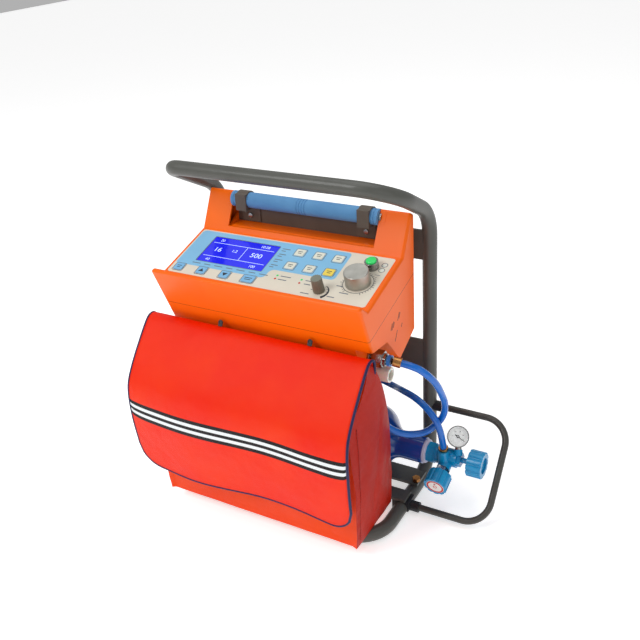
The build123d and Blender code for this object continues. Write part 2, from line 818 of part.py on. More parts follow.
with BuildPart() as flow_knob:
    with BuildSketch(along(FLOW_AT, FLOW_DIR, 30)):
        Circle(FLOW_KNOB_R)
        with PolarLocations(FLOW_KNOB_R + 0.6, 10):
            Circle(2.2, mode=Mode.SUBTRACT)
    extrude(amount=23)
    with BuildSketch(along(FLOW_AT, FLOW_DIR, 53)):
        Circle(13.5)
    extrude(amount=-1, mode=Mode.SUBTRACT)
    with BuildSketch(along(FLOW_AT, FLOW_DIR, 10)):
        Circle(SPINDLE_R)
    extrude(amount=22)
save(flow_knob, "flow_knob")

with BuildPart() as knob_badge:
    with BuildSketch(along(FLOW_AT, FLOW_DIR, 52)):
        Circle(13.4)
    extrude(amount=0.8)
save(knob_badge, "knob_badge")

with BuildPart() as gauge_case:
    with BuildSketch(along(GAUGE_AT, GAUGE_DIR, -7)):
        Circle(GAUGE_R)
    extrude(amount=14)
    with BuildSketch(along(GAUGE_AT, GAUGE_DIR, 7)):
        Circle(GAUGE_R - 1.5)
    extrude(amount=-11, mode=Mode.SUBTRACT)
    with BuildSketch(along(GAUGE_AT, GAUGE_STEM, GAUGE_R - 0.6)):
        Circle(5)
    extrude(amount=3.6)
save(gauge_case, "gauge_case")

with BuildPart() as gauge_dial:
    with BuildSketch(along(GAUGE_AT, GAUGE_DIR, -4)):
        Circle(GAUGE_R - 1.6)
    extrude(amount=1)
    with BuildSketch(along(GAUGE_AT, GAUGE_DIR, -3)):
        Circle(0.8)
    extrude(amount=4.2)
save(gauge_dial, "gauge_dial")

NEEDLE_TURN = 50.0
with BuildPart() as gauge_needle:
    with BuildSketch(along(GAUGE_AT, GAUGE_DIR, 0.2)):
        Circle(2.2)
        with Locations(Rotation(0, 0, NEEDLE_TURN)):
            Polygon((-0.9, -5), (0.9, -5), (0.25, 11.5), (-0.25, 11.5), align=None)
        Circle(0.8 + 0.06, mode=Mode.SUBTRACT)
    extrude(amount=0.7)
save(gauge_needle, "gauge_needle")

with BuildPart() as gauge_glass:
    with BuildSketch(along(GAUGE_AT, GAUGE_DIR, 5)):
        Circle(GAUGE_R - 1.6)
    extrude(amount=1.6)
save(gauge_glass, "gauge_glass")

# ---------------------------------------------------------------- oxygen hose
HOSE_ROUTE = [
    (186, -57, -126),
    (205, -53, -130),
    (227, -38, -140),
    (236, -18, -155),
    (238, -7, -181),
    (233, 9, -220),
    (219, 11, -247),
    (196, -7, -270),
    (166, -29, -265),
    (138, -43, -236),
    (98, -46, -220),
    (69, -37, -213),
    (51, -13, -211),
    (50, 17, -214),
    (68, 41, -220),
    (97, 50, -227),
    (128, 41, -231),
    (156, 15, -219),
    (183, 1, -217),
    (208, -6, -230),
    (223, -6, -256),
    (223, 3, -292),
]


def route_radii(route):
    """Arc radius at each corner: 0.45 of the shorter run over the tangent of half the turn."""
    points = [Vector(*point) for point in route]
    runs = [after - before for before, after in zip(points, points[1:])]
    radii = []
    for first, second in zip(runs, runs[1:]):
        half_turn = math.radians(first.get_angle(second)) / 2
        radii.append(0.45 * min(first.length, second.length) / math.tan(half_turn))
    return radii


HOSE_RADII = route_radii(HOSE_ROUTE)
oxygen_hose = bent_tube(HOSE_ROUTE, HOSE_RADII, HOSE_R)
save(oxygen_hose, "oxygen_hose")
print("hose radii", [round(radius) for radius in HOSE_RADII])

HOSE_END = (Vector(*HOSE_ROUTE[-1]) - Vector(*HOSE_ROUTE[-2])).normalized()
HOSE_START = (Vector(*HOSE_ROUTE[1]) - Vector(*HOSE_ROUTE[0])).normalized()
with BuildPart() as hose_ferrules:
    with BuildSketch(along(HOSE_ROUTE[0], HOSE_START, 0)):
        Circle(7.2)
    extrude(amount=-11)
    with BuildSketch(along(HOSE_ROUTE[-1], HOSE_END, 0)):
        Circle(7.2)
    extrude(amount=4)
save(hose_ferrules, "hose_ferrules")

# ---------------------------------------------------------------- accessory bag
BAG_HALF = 162.0
BAG_WALL = 4.0
BAG_PROFILE = [
    (-50, -374),
    (-45, -322),
    (-54, -247),
    (-86, -148),
    (-100, -115),
    (-112, -102),
    (-174, -172),
    (-166, -271),
    (-163, -374),
]
FLAP_T = 5.0
FLAP_HINGE = (-120.0, -106.0)
FLAP_LINE = [FLAP_HINGE, (-179.5, -170), (-187.5, -196), (-187.5, -240), (-181, -323)]
FLAP_X = (-184.0, 170.0)

with BuildPart() as bag_body:
    with BuildSketch(side()) as bag_side:
        with BuildLine():
            Polyline(*BAG_PROFILE, close=True)
        make_face()
        fillet(bag_side.vertices(), 5)
    extrude(amount=BAG_HALF, both=True)
    fillet(bag_body.faces().sort_by(Axis.X)[-1].edges(), 4)
    fillet(bag_body.faces().sort_by(Axis.X)[0].edges(), 4)
    with BuildSketch(side()):
        with BuildLine():
            Polyline(*BAG_PROFILE, close=True)
        make_face()
        offset(amount=-BAG_WALL, mode=Mode.REPLACE)
    extrude(amount=BAG_HALF - BAG_WALL, both=True, mode=Mode.SUBTRACT)
    mouth = Plane(origin=at(0, -142, -137), x_dir=(1, 0, 0), z_dir=(0, -0.74, 0.673))
    with BuildSketch(mouth):
        Rectangle(2 * BAG_HALF - 24, 74)
    extrude(amount=12, both=True, mode=Mode.SUBTRACT)
save(bag_body, "bag_body")

with BuildPart() as bag_flap:
    with BuildSketch(side(FLAP_X[0])):
        with BuildLine():
            Polyline(*FLAP_LINE)
        trace(line_width=FLAP_T)
        with Locations(FLAP_HINGE):
            Circle(FLAP_T / 2)
    extrude(amount=FLAP_X[1] - FLAP_X[0])
    with BuildSketch(front(-100)):
        with Locations(((FLAP_X[0] + FLAP_X[1]) / 2, -200)):
            RectangleRounded(FLAP_X[1] - FLAP_X[0], 250, 32)
    extrude(amount=120, mode=Mode.INTERSECT)
save(bag_flap, "bag_flap")
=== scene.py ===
"""The looks of a portable ventilator on its tube frame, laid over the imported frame. Metres, +Z up."""
import json
import math

import bmesh
import bpy
from mathutils import Matrix, Vector, noise

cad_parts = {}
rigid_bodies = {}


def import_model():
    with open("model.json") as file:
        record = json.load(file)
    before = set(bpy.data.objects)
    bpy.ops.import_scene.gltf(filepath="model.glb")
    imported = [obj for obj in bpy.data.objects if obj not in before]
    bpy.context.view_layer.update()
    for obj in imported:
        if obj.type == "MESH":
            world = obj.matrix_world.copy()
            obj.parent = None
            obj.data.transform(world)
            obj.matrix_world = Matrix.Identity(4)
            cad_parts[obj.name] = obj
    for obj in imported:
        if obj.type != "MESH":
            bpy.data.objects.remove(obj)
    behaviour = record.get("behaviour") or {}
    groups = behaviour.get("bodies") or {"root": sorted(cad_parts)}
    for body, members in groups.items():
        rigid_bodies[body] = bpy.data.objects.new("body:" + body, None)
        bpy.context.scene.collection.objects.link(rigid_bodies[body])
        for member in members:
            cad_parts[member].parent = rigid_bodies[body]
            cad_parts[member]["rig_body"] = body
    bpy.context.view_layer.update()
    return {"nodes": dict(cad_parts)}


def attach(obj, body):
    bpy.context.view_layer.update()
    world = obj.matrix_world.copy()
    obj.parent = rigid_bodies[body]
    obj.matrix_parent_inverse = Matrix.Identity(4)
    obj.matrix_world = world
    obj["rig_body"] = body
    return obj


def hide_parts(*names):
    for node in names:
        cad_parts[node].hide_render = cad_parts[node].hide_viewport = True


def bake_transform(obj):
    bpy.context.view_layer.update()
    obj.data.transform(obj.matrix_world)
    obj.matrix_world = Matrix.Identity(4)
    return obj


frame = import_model()
nodes = frame["nodes"]

# ---------------------------------------------------------------- places
MM = 0.001
UNIT_MIDDLE = Vector((-60.75, 55.75, 395.5)) * MM  # middle of the crease behind the sloping panel
TILT = math.radians(15.6)
CREASE_AXES = Matrix.Translation(UNIT_MIDDLE) @ Matrix.Scale(MM, 4)
ROOT = "unit_and_frame"


def at(x, y, z):
    """A point in millimetres from the middle of the crease."""
    return UNIT_MIDDLE + Vector((x, y, z)) * MM


def on_panel(u=0.0, v=0.0, height=0.0):
    """Millimetre axes on the panel: u to the right, v up the slope, height out of its face."""
    slope = Matrix.Translation(UNIT_MIDDLE) @ Matrix.Rotation(TILT, 4, "X") @ Matrix.Scale(MM, 4)
    return slope @ Matrix.Translation((u, v, height))


def facing(place, normal):
    """Millimetre axes at a place, with the third one along normal and the second nearest to straight up."""
    third = normal.normalized()
    first = Vector((0, 0, 1)).cross(third).normalized()
    second = third.cross(first)
    turn = Matrix((first, second, third)).transposed().to_4x4()
    return Matrix.Translation(place) @ turn @ Matrix.Scale(MM, 4)


# ---------------------------------------------------------------- camera
camera = bpy.data.objects.new("camera", bpy.data.cameras.new("camera"))
camera.data.lens = 47.1
camera.location = (0.53335, -0.88175, 0.8399)
camera.rotation_euler = [math.radians(angle) for angle in (62.685, 3.471, 29.253)]
bpy.context.scene.collection.objects.link(camera)
bpy.context.scene.camera = camera


# ---------------------------------------------------------------- finishes
def srgb(red, green, blue):
    """Linear colour of an 8-bit screen colour."""
    def linear(value):
        value /= 255
        return value / 12.92 if value < 0.04045 else ((value + 0.055) / 1.055) ** 2.4
    return (linear(red), linear(green), linear(blue), 1)


def node_group(name, inputs, outputs):
    """An empty shader group, its input node and its output node."""
    group = bpy.data.node_groups.new(name, "ShaderNodeTree")
    for label, kind, value in inputs:
        socket = group.interface.new_socket(label, in_out="INPUT", socket_type="NodeSocket" + kind)
        socket.default_value = value
    for label, kind in outputs:
        group.interface.new_socket(label, in_out="OUTPUT", socket_type="NodeSocket" + kind)
    return group, group.nodes.new("NodeGroupInput"), group.nodes.new("NodeGroupOutput")


def feed(tree, socket, value):
    """Links a socket to another one, or sets its plain value."""
    if isinstance(value, bpy.types.NodeSocket):
        tree.links.new(value, socket)
    else:
        socket.default_value = value


def scaled(tree, value, low, high):
    """Map Range node that turns 0 to 1 into low to high."""
    node = tree.nodes.new("ShaderNodeMapRange")
    tree.links.new(value, node.inputs["Value"])
    node.inputs["To Min"].default_value = low
    node.inputs["To Max"].default_value = high
    return node.outputs["Result"]


def arithmetic(tree, operation, *values, clamp=False):
    """Math node on sockets or numbers."""
    node = tree.nodes.new("ShaderNodeMath")
    node.operation = operation
    node.use_clamp = clamp
    for socket, value in zip(node.inputs, values):
        feed(tree, socket, value)
    return node.outputs[0]


def mixed(tree, factor, first, second):
    """Colour mix of two sockets or colours."""
    node = tree.nodes.new("ShaderNodeMix")
    node.data_type = "RGBA"
    for socket, value in ((node.inputs["Factor"], factor), (node.inputs[6], first), (node.inputs[7], second)):
        feed(tree, socket, value)
    return node.outputs[2]


def noise_field(tree, coordinates, scale, detail=3.0):
    node = tree.nodes.new("ShaderNodeTexNoise")
    node.inputs["Detail"].default_value = detail
    tree.links.new(coordinates, node.inputs["Vector"])
    feed(tree, node.inputs["Scale"], scale)
    return node.outputs["Fac"]


def bumped(tree, strength, height, distance, under=None):
    """Normal of a surface raised by a height field, over another normal where one is given."""
    node = tree.nodes.new("ShaderNodeBump")
    node.inputs["Distance"].default_value = distance
    tree.links.new(strength, node.inputs["Strength"])
    tree.links.new(height, node.inputs["Height"])
    if under:
        tree.links.new(under, node.inputs["Normal"])
    return node.outputs["Normal"]


def give(tree, result, colour, roughness, normal):
    """Links what a finish group works out to its outputs."""
    for label, socket in (("Colour", colour), ("Roughness", roughness), ("Normal", normal)):
        tree.links.new(socket, result.inputs[label])


def moulded_surface():
    """Mottled colour, uneven gloss and a fine grain for moulded, painted and rubber surfaces."""
    tree, given, result = node_group("moulded_surface", [
        ("Colour", "Color", (0.5, 0.5, 0.5, 1)), ("Worn Colour", "Color", (0.5, 0.5, 0.5, 1)),
        ("Mottle", "Float", 0.2), ("Mottle Scale", "Float", 12.0), ("Roughness", "Float", 0.4),
        ("Smudge", "Float", 0.08), ("Grain Scale", "Float", 900.0), ("Grain Depth", "Float", 0.05),
    ], [("Colour", "Color"), ("Roughness", "Float"), ("Normal", "Vector")])
    place = tree.nodes.new("ShaderNodeTexCoord").outputs["Object"]
    cloud = noise_field(tree, place, given.outputs["Mottle Scale"], 4)
    speck = noise_field(tree, place, given.outputs["Grain Scale"], 2)
    amount = arithmetic(tree, "MULTIPLY", scaled(tree, cloud, -0.6, 1.6), given.outputs["Mottle"], clamp=True)
    colour = mixed(tree, amount, given.outputs["Colour"], given.outputs["Worn Colour"])
    gloss = arithmetic(tree, "MULTIPLY_ADD", scaled(tree, cloud, -1.0, 1.0), given.outputs["Smudge"],
                       given.outputs["Roughness"])
    give(tree, result, colour, gloss, bumped(tree, given.outputs["Grain Depth"], speck, 0.0004))
    return tree


def coated_weave():
    """Shading of a coated cloth: soft patches, a fine plain weave and small creases."""
    tree, given, result = node_group("coated_weave", [
        ("Place", "Vector", (0, 0, 0)), ("Colour", "Color", (0.5, 0.1, 0.1, 1)),
        ("Faded Colour", "Color", (0.5, 0.1, 0.1, 1)), ("Fading", "Float", 0.5),
        ("Thread Scale", "Float", 700.0), ("Weave Depth", "Float", 0.25), ("Crease Depth", "Float", 0.4),
    ], [("Colour", "Color"), ("Roughness", "Float"), ("Normal", "Vector")])
    place = given.outputs["Place"]
    patches = noise_field(tree, place, 9, 4)
    amount = arithmetic(tree, "MULTIPLY", scaled(tree, patches, -0.8, 1.8), given.outputs["Fading"], clamp=True)
    colour = mixed(tree, amount, given.outputs["Colour"], given.outputs["Faded Colour"])
    threads = []
    for direction in ("X", "Y", "Z"):
        wave = tree.nodes.new("ShaderNodeTexWave")
        wave.bands_direction = direction
        wave.inputs["Distortion"].default_value = 0.4
        tree.links.new(place, wave.inputs["Vector"])
        tree.links.new(given.outputs["Thread Scale"], wave.inputs["Scale"])
        threads.append(wave.outputs["Fac"])
    weave = bumped(tree, given.outputs["Weave Depth"], arithmetic(tree, "MULTIPLY_ADD", *threads), 0.0003)
    crease = bumped(tree, given.outputs["Crease Depth"], noise_field(tree, place, 26, 2), 0.006, weave)
    give(tree, result, colour, scaled(tree, patches, 0.34, 0.5), crease)
    return tree


def brushed_metal():
    """Fine scratches that run round or along a metal piece, with dull patches."""
    tree, given, result = node_group("brushed_metal", [
        ("Colour", "Color", (0.7, 0.7, 0.7, 1)), ("Dull Colour", "Color", (0.4, 0.4, 0.4, 1)),
        ("Roughness", "Float", 0.2), ("Scratch Scale", "Float", 400.0), ("Scratch Depth", "Float", 0.1),
    ], [("Colour", "Color"), ("Roughness", "Float"), ("Normal", "Vector")])
    place = tree.nodes.new("ShaderNodeTexCoord").outputs["Object"]
    stretch = tree.nodes.new("ShaderNodeMapping")
    stretch.inputs["Scale"].default_value = (1, 0.08, 1)
    tree.links.new(place, stretch.inputs["Vector"])
    scratch = noise_field(tree, stretch.outputs["Vector"], given.outputs["Scratch Scale"], 4)
    patch = noise_field(tree, place, 60, 3)
    colour = mixed(tree, scaled(tree, patch, -0.5, 1.3), given.outputs["Colour"], given.outputs["Dull Colour"])
    gloss = arithmetic(tree, "ADD", scaled(tree, scratch, -0.06, 0.14), given.outputs["Roughness"])
    give(tree, result, colour, gloss, bumped(tree, given.outputs["Scratch Depth"], scratch, 0.0003))
    return tree


MOULDED = moulded_surface()
WEAVE = coated_weave()
BRUSHED = brushed_metal()


def finish_with(name, group, values, **plain):
    """A material whose colour, gloss and normal come from a group; plain sets the shader's own sockets."""
    material = bpy.data.materials.new(name)
    material.use_nodes = True
    tree = material.node_tree
    shader = tree.nodes["Principled BSDF"]
    detail = tree.nodes.new("ShaderNodeGroup")
    detail.node_tree = group
    for label, value in values.items():
        detail.inputs[label].default_value = value
    tree.links.new(detail.outputs["Colour"], shader.inputs["Base Color"])
    tree.links.new(detail.outputs["Roughness"], shader.inputs["Roughness"])
    tree.links.new(detail.outputs["Normal"], shader.inputs["Normal"])
    for label, value in plain.items():
        shader.inputs[label.replace("_", " ")].default_value = value
    material.diffuse_color = values["Colour"]
    return material


def moulded(name, colour, worn, roughness=0.35, mottle=0.25, mottle_scale=14.0, grain=0.08, **plain):
    plain.setdefault("Specular_IOR_Level", 0.3)
    return finish_with(name, MOULDED, {
        "Colour": srgb(*colour), "Worn Colour": srgb(*worn), "Roughness": roughness, "Mottle": mottle,
        "Mottle Scale": mottle_scale, "Grain Depth": grain}, **plain)


def metal(name, colour, dull, roughness=0.18, depth=0.1, **plain):
    return finish_with(name, BRUSHED, {
        "Colour": srgb(*colour), "Dull Colour": srgb(*dull), "Roughness": roughness,
        "Scratch Depth": depth}, Metallic=1.0, **plain)


def cloth(name, colour, faded, fading=0.5, uv=False, crease=0.4, **plain):
    """Coated cloth; uv keeps the weave on a piece that bends."""
    material = finish_with(name, WEAVE, {
        "Colour": srgb(*colour), "Faded Colour": srgb(*faded), "Fading": fading, "Crease Depth": crease}, **plain)
    tree = material.node_tree
    place = tree.nodes.new("ShaderNodeTexCoord").outputs["UV" if uv else "Object"]
    detail = next(node for node in tree.nodes if node.type == "GROUP")
    tree.links.new(place, detail.inputs["Place"])
    return material


orange_shell = moulded("orange_shell", (247, 106, 0), (237, 86, 0), 0.36, 0.5, 9, 0.06, Coat_Weight=0.05,
                       Coat_Roughness=0.2, Specular_IOR_Level=0.22)
frame_enamel = moulded("frame_enamel", (84, 85, 80), (68, 68, 64), 0.42, 0.5, 30, 0.35, Coat_Weight=0.15)
bail_enamel = moulded("bail_enamel", (70, 69, 65), (52, 52, 49), 0.4, 0.5, 40, 0.3, Coat_Weight=0.1)
warm_grey = moulded("warm_grey", (98, 88, 78), (74, 66, 60), 0.45, 0.4, 30, 0.2)
panel_beige = moulded("panel_beige", (222, 216, 200), (206, 199, 182), 0.4, 0.4, 20, 0.12)
panel_sky = moulded("panel_sky", (132, 190, 226), (118, 176, 214), 0.4, 0.4, 20, 0.12)
panel_ink = moulded("panel_ink", (44, 48, 58), (66, 68, 76), 0.5, 0.4, 60, 0.1)
panel_slate = moulded("panel_slate", (96, 106, 118), (120, 126, 134), 0.5, 0.4, 60, 0.1)
key_ivory = moulded("key_ivory", (226, 227, 212), (206, 206, 190), 0.36, 0.4, 60, 0.1)
key_sky = moulded("key_sky", (128, 186, 226), (108, 168, 212), 0.36, 0.4, 60, 0.1)
key_amber = moulded("key_amber", (240, 214, 92), (226, 196, 70), 0.36, 0.4, 60, 0.1)
knob_silver = metal("knob_silver", (190, 189, 182), (160, 159, 152), 0.32, 0.25)
knob_pewter = moulded("knob_pewter", (128, 131, 118), (104, 107, 96), 0.38, 0.4, 80, 0.2)
chrome = metal("chrome", (176, 176, 174), (128, 128, 128), 0.12, 0.05)
steel = metal("steel", (186, 184, 180), (140, 138, 134), 0.26, 0.2)
brass = metal("brass", (196, 142, 84), (148, 98, 56), 0.24, 0.15)
alloy = metal("alloy", (176, 176, 172), (130, 130, 128), 0.34, 0.2)
green_lens = moulded("green_lens", (46, 190, 92), (26, 150, 66), 0.16, 0.5, 120, 0.04, Coat_Weight=0.6,
                     Emission_Color=srgb(40, 220, 110), Emission_Strength=0.35)
lamp_red = moulded("lamp_red", (206, 60, 40), (160, 34, 24), 0.2, 0.4, 120, 0.05, Coat_Weight=0.5)
screen_blue = moulded("screen_blue", (22, 32, 232), (14, 22, 204), 0.14, 0.6, 30, 0.02, Coat_Weight=0.8,
                      Emission_Color=srgb(30, 40, 240), Emission_Strength=0.22)
screen_pale = moulded("screen_pale", (196, 214, 255), (170, 194, 250), 0.3, 0.4, 60, 0.02,
                      Emission_Color=srgb(190, 210, 255), Emission_Strength=0.6)
board_green = moulded("board_green", (26, 92, 52), (18, 66, 38), 0.4, 0.5, 60, 0.3)
black_plastic = moulded("black_plastic", (34, 35, 38), (52, 53, 56), 0.42, 0.4, 40, 0.25)
milky_plastic = moulded("milky_plastic", (232, 231, 222), (212, 210, 200), 0.3, 0.5, 40, 0.1,
                        Subsurface_Weight=0.25, Subsurface_Scale=0.006)
sky_plastic = moulded("sky_plastic", (44, 132, 214), (28, 104, 188), 0.28, 0.4, 60, 0.08, Coat_Weight=0.3)
grip_rubber = moulded("grip_rubber", (98, 156, 204), (74, 128, 182), 0.52, 0.6, 26, 0.5)
cylinder_paint = moulded("cylinder_paint", (0, 66, 150), (0, 38, 104), 0.16, 0.6, 10, 0.05, Coat_Weight=0.7,
                         Coat_Roughness=0.06)
lavender_plastic = moulded("lavender_plastic", (206, 204, 224), (180, 178, 204), 0.36, 0.5, 60, 0.1)
turquoise = moulded("turquoise", (10, 150, 204), (2, 118, 176), 0.3, 0.5, 60, 0.12, Coat_Weight=0.3)
badge_red = moulded("badge_red", (206, 44, 40), (170, 28, 26), 0.34, 0.5, 80, 0.06)
badge_white = moulded("badge_white", (238, 238, 234), (220, 220, 216), 0.34, 0.4, 80, 0.06)
# The dial face glows white: painted light that stands in for the light the gauge glass holds back from it.
dial_face_painted_glow = moulded("dial_face_painted_glow", (244, 244, 238), (230, 230, 222), 0.4, 0.4, 80, 0.05,
                    Emission_Color=(1, 1, 1, 1), Emission_Strength=0.45)
ink = moulded("ink", (20, 20, 24), (44, 44, 48), 0.5, 0.4, 90, 0.05)
hose_rubber = moulded("hose_rubber", (0, 108, 204), (0, 82, 178), 0.24, 0.55, 28, 0.08, Coat_Weight=0.45,
                      Coat_Roughness=0.12)
webbing = cloth("webbing", (36, 34, 40), (60, 56, 62), 0.6)
bag_cloth = cloth("bag_cloth", (232, 58, 0), (240, 78, 8), 0.55, crease=0.5, Specular_IOR_Level=0.16)
# Darker red copy of the bag cloth for the bag's two end panels: painted shade, as these panels turn away from the
# key light.
gusset_painted_shade_cloth = cloth("gusset_painted_shade_cloth", (166, 20, 2), (194, 36, 6), 0.55, crease=0.7, Specular_IOR_Level=0.14)
piping_navy = moulded("piping_navy", (22, 22, 66), (40, 38, 92), 0.45, 0.5, 90, 0.3)
thread_red = moulded("thread_red", (150, 24, 12), (120, 16, 8), 0.6, 0.4, 90, 0.4)


def seam_line(material, height, back, line):
    """Dark hairline where the two casing halves meet, on a plane that climbs to the back."""
    tree = material.node_tree
    shader = tree.nodes["Principled BSDF"]
    detail = next(node for node in tree.nodes if node.type == "GROUP")
    split = tree.nodes.new("ShaderNodeSeparateXYZ")
    tree.links.new(tree.nodes.new("ShaderNodeTexCoord").outputs["Object"], split.inputs[0])
    level = arithmetic(tree, "MULTIPLY_ADD", split.outputs["Y"], back, split.outputs["Z"])
    on_line = arithmetic(tree, "COMPARE", arithmetic(tree, "SUBTRACT", level, height), 0.0, line)
    colour = mixed(tree, on_line, detail.outputs["Colour"], srgb(150, 52, 0))
    tree.links.new(colour, shader.inputs["Base Color"])


SEAM_FRONT = at(0, -109, -75.5)
seam_line(orange_shell, SEAM_FRONT.z - SEAM_FRONT.y * math.tan(TILT), -math.tan(TILT), 0.00045)


def clear_lens():
    """Clear moulded lens with a faint haze."""
    return finish_with("clear_lens", MOULDED, {
        "Colour": (0.96, 0.97, 0.98, 1), "Worn Colour": (0.88, 0.9, 0.92, 1), "Roughness": 0.05,
        "Smudge": 0.03, "Grain Depth": 0.01}, Transmission_Weight=1.0, IOR=1.45)


def striped_cloth():
    """Red flap cloth with the sewn black and white band; the band follows the flap's own length."""
    material = cloth("striped_cloth", (230, 30, 0), (240, 64, 4), 0.5, uv=True, crease=0.35,
                     Specular_IOR_Level=0.18)
    tree = material.node_tree
    shader = tree.nodes["Principled BSDF"]
    detail = next(node for node in tree.nodes if node.type == "GROUP")
    place = tree.nodes.new("ShaderNodeTexCoord").outputs["UV"]
    split = tree.nodes.new("ShaderNodeSeparateXYZ")
    tree.links.new(place, split.inputs[0])
    along = tree.nodes.new("ShaderNodeMapRange")
    along.inputs["From Min"].default_value = BAND[0] * MM
    along.inputs["From Max"].default_value = BAND[1] * MM
    tree.links.new(split.outputs["Y"], along.inputs["Value"])
    ramp = tree.nodes.new("ShaderNodeValToRGB")
    ramp.color_ramp.interpolation = "CONSTANT"
    black, white, clear = (0.003, 0.003, 0.004, 1), (0.78, 0.82, 0.84, 1), (1, 0, 0, 1)
    stops = ((0, clear), (0.04, black), (0.24, white), (0.42, black), (0.6, white), (0.78, black), (0.98, clear))
    ramp.color_ramp.elements[1].position = 1.0
    for position, colour in stops[1:-1]:
        ramp.color_ramp.elements.new(position).color = colour
    ramp.color_ramp.elements[0].color = clear
    ramp.color_ramp.elements[-1].color = clear
    ramp.color_ramp.elements[-1].position = 0.98
    tree.links.new(along.outputs["Result"], ramp.inputs["Fac"])
    in_band = arithmetic(tree, "MULTIPLY", arithmetic(tree, "GREATER_THAN", along.outputs["Result"], 0.04),
                         arithmetic(tree, "LESS_THAN", along.outputs["Result"], 0.98))
    colour = mixed(tree, in_band, detail.outputs["Colour"], ramp.outputs["Color"])
    tree.links.new(colour, shader.inputs["Base Color"])
    return material


# ---------------------------------------------------------------- piece making
def drawn(name, shape, material, smooth):
    """An object made from a bmesh, smooth where its faces meet at less than an angle in degrees."""
    mesh = bpy.data.meshes.new(name)
    shape.to_mesh(mesh)
    shape.free()
    mesh.shade_smooth()
    mesh.set_sharp_from_angle(angle=math.radians(smooth))
    obj = bpy.data.objects.new(name, mesh)
    bpy.context.scene.collection.objects.link(obj)
    mesh.materials.append(material)
    return obj


def piece(name, shape, matrix, material, body=ROOT, bevel=0.0, smooth=35):
    """Finishes a bmesh drawn in millimetres as a piece of its own that rides on a body."""
    shape.transform(matrix)
    bmesh.ops.recalc_face_normals(shape, faces=shape.faces)
    obj = drawn(name, shape, material, smooth)
    if bevel:
        softened(obj, bevel)
    if body:
        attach(obj, body)
    return obj


def softened(obj, width):
    """Rounds an object's edges by a width in millimetres, or only evens its shading at width 0."""
    if width:
        bevel = obj.modifiers.new("soft_edges", "BEVEL")
        bevel.width = width * MM
        bevel.segments = 2
        bevel.limit_method = "ANGLE"
        bevel.angle_limit = math.radians(40)
        bevel.use_clamp_overlap = True
    weighted = obj.modifiers.new("flat_faces", "WEIGHTED_NORMAL")
    weighted.keep_sharp = True


def refined(node, material, bevel=0.0):
    """A merged copy of a machined or moulded piece, with soft edges and even shading."""
    original = nodes[node]
    shape = bmesh.new()
    shape.from_mesh(original.data)
    bmesh.ops.remove_doubles(shape, verts=shape.verts, dist=2e-6)
    bmesh.ops.dissolve_limit(shape, angle_limit=math.radians(0.4), verts=shape.verts, edges=shape.edges)
    obj = drawn(node + "_skin", shape, material, 32)
    softened(obj, bevel)
    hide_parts(node)
    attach(obj, original["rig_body"])
    return obj


def rounded_face(width, height, radius, segments=6):
    """Flat rectangle with rounded corners."""
    shape = bmesh.new()
    bmesh.ops.create_grid(shape, x_segments=1, y_segments=1, size=0.5)
    bmesh.ops.scale(shape, vec=(width, height, 1), verts=shape.verts)
    bmesh.ops.bevel(shape, geom=shape.verts[:], offset=radius, offset_type="OFFSET", segments=segments,
                    profile=0.5, affect="VERTICES", material=-1)
    return shape


def rounded_plate(width, height, radius, thick, segments=6):
    """Flat plate with rounded corners, its underside at 0."""
    shape = rounded_face(width, height, radius, segments)
    raised(shape, thick)
    return shape


def raised(shape, thick):
    """Gives a flat outline its thickness."""
    grown = bmesh.ops.extrude_face_region(shape, geom=shape.faces[:])
    corners = [item for item in grown["geom"] if isinstance(item, bmesh.types.BMVert)]
    bmesh.ops.translate(shape, vec=(0, 0, thick), verts=corners)


def outline_plate(corners, thick, radii):
    """Flat plate from its corner points, each rounded by its own radius; no thickness leaves one face."""
    shape = bmesh.new()
    verts = [shape.verts.new((x, y, 0)) for x, y in corners]
    shape.faces.new(verts)
    for vert, radius in zip(verts, radii):
        if radius:
            bmesh.ops.bevel(shape, geom=[vert], offset=radius, offset_type="OFFSET", segments=6, profile=0.5,
                            affect="VERTICES", material=-1)
    if thick:
        raised(shape, thick)
    return shape


def frame_outline(width, height, radius, line, thick):
    """Thin raised line round a rounded rectangle."""
    shape = rounded_face(width, height, radius)
    bmesh.ops.inset_region(shape, faces=shape.faces[:], thickness=line, use_boundary=True, use_even_offset=True)
    inner = max(shape.faces, key=lambda face: len(face.verts))
    bmesh.ops.delete(shape, geom=[inner], context="FACES_ONLY")
    raised(shape, thick)
    return shape


def disc(radius, thick, segments=40):
    shape = bmesh.new()
    bmesh.ops.create_circle(shape, cap_ends=True, radius=radius, segments=segments)
    raised(shape, thick)
    return shape


def ring(inner, outer, thick, segments=48):
    """Flat ring, spun from its section."""
    shape = bmesh.new()
    section = [shape.verts.new((r, 0, h)) for r, h in ((inner, 0), (outer, 0), (outer, thick), (inner, thick))]
    edges = [shape.edges.new((section[i], section[(i + 1) % 4])) for i in range(4)]
    bmesh.ops.spin(shape, geom=section + edges, cent=(0, 0, 0), axis=(0, 0, 1), angle=2 * math.pi,
                   steps=segments, use_merge=True, use_duplicate=False)
    bmesh.ops.remove_doubles(shape, verts=shape.verts, dist=1e-4)
    return shape


def joined(shapes):
    """Several bmeshes as one."""
    whole = bmesh.new()
    for shape in shapes:
        part = bpy.data.meshes.new("part")
        shape.to_mesh(part)
        shape.free()
        whole.from_mesh(part)
        bpy.data.meshes.remove(part)
    return whole


def moved(shape, x=0.0, y=0.0, turn=0.0, z=0.0):
    shape.transform(Matrix.Translation((x, y, z)) @ Matrix.Rotation(math.radians(turn), 4, "Z"))
    return shape


def meshed(curve, merge):
    """A curve's surface as a bmesh, with points nearer than a distance merged."""
    carrier = bpy.data.objects.new(curve.name, curve)
    bpy.context.scene.collection.objects.link(carrier)
    bpy.context.view_layer.update()
    mesh = bpy.data.meshes.new_from_object(carrier.evaluated_get(bpy.context.evaluated_depsgraph_get()))
    bpy.data.objects.remove(carrier)
    shape = bmesh.new()
    shape.from_mesh(mesh)
    bpy.data.meshes.remove(mesh)
    bmesh.ops.remove_doubles(shape, verts=shape.verts, dist=merge)
    return shape


